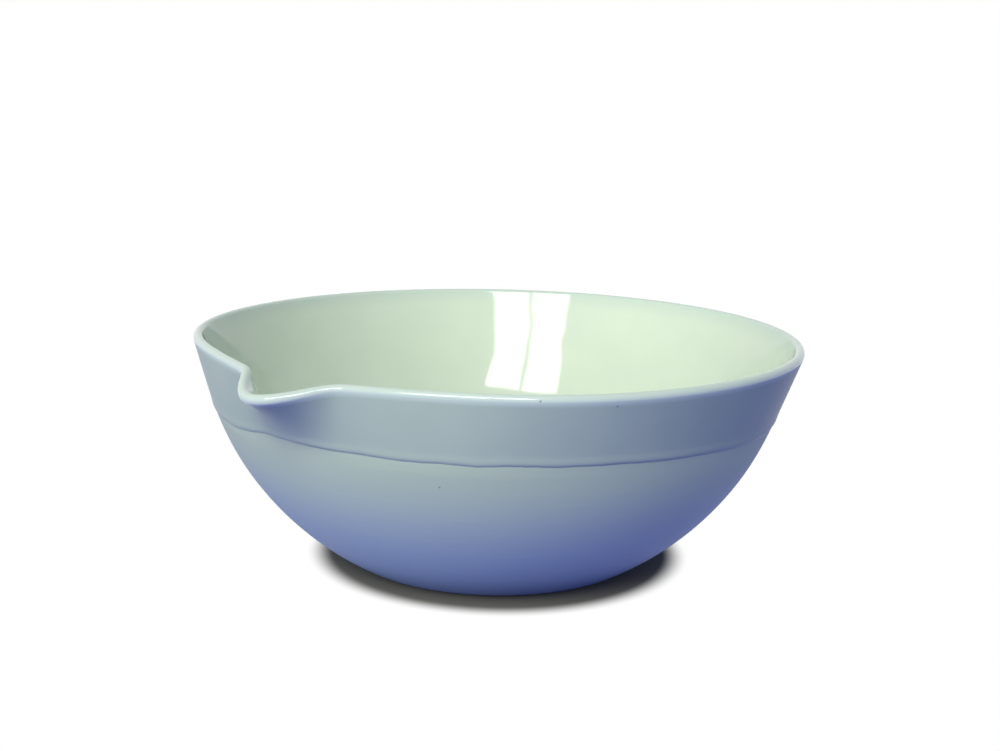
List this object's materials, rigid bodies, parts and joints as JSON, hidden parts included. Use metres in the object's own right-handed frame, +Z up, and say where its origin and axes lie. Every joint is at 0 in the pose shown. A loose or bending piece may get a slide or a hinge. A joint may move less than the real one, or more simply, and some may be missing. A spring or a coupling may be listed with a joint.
{
  "type": "evaporating dish",
  "caption": "Shallow flat-bottomed porcelain laboratory bowl with a rounded rim and one pouring spout drawn out of its wall.",
  "frame": {"origin": "middle of the flat base", "axes": "+Z up out of the bowl, -Y from the middle towards the spout"},
  "size_m": [0.12, 0.1265, 0.045],
  "materials": {
    "porcelain": "glossy glaze inside and on the rim band, matt unglazed outside below it"
  },
  "bodies": {
    "root": {"dish": "porcelain"}
  },
  "joints": []
}
